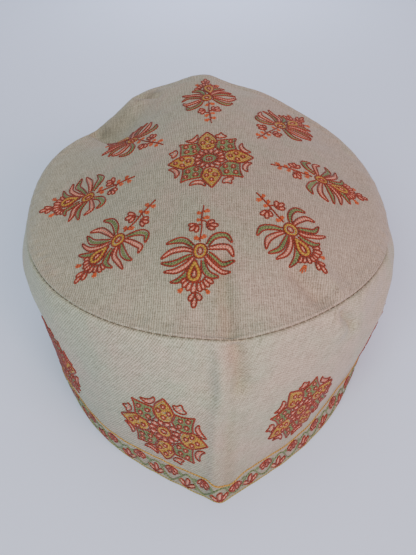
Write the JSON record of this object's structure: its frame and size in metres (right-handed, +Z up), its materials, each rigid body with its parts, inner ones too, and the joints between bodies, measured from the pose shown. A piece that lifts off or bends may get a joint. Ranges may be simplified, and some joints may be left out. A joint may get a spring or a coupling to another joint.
{
  "type": "kashmiri cap",
  "caption": "Soft greige wool cap: a round domed crown panel sewn to an upright side band with a pressed front crease, open below for a head, standing on its rim.",
  "frame": {"origin": "bottom centre of the cap's box, on the plane of its rim", "axes": "+Z up, the pressed front crease towards -Y, the wearer's left towards +X"},
  "size_m": [0.1866, 0.2108, 0.1062],
  "materials": {
    "crown_cloth": "matte",
    "band_cloth": "matte"
  },
  "bodies": {
    "root": {"crown_panel": "crown_cloth", "side_band": "band_cloth"}
  },
  "joints": []
}
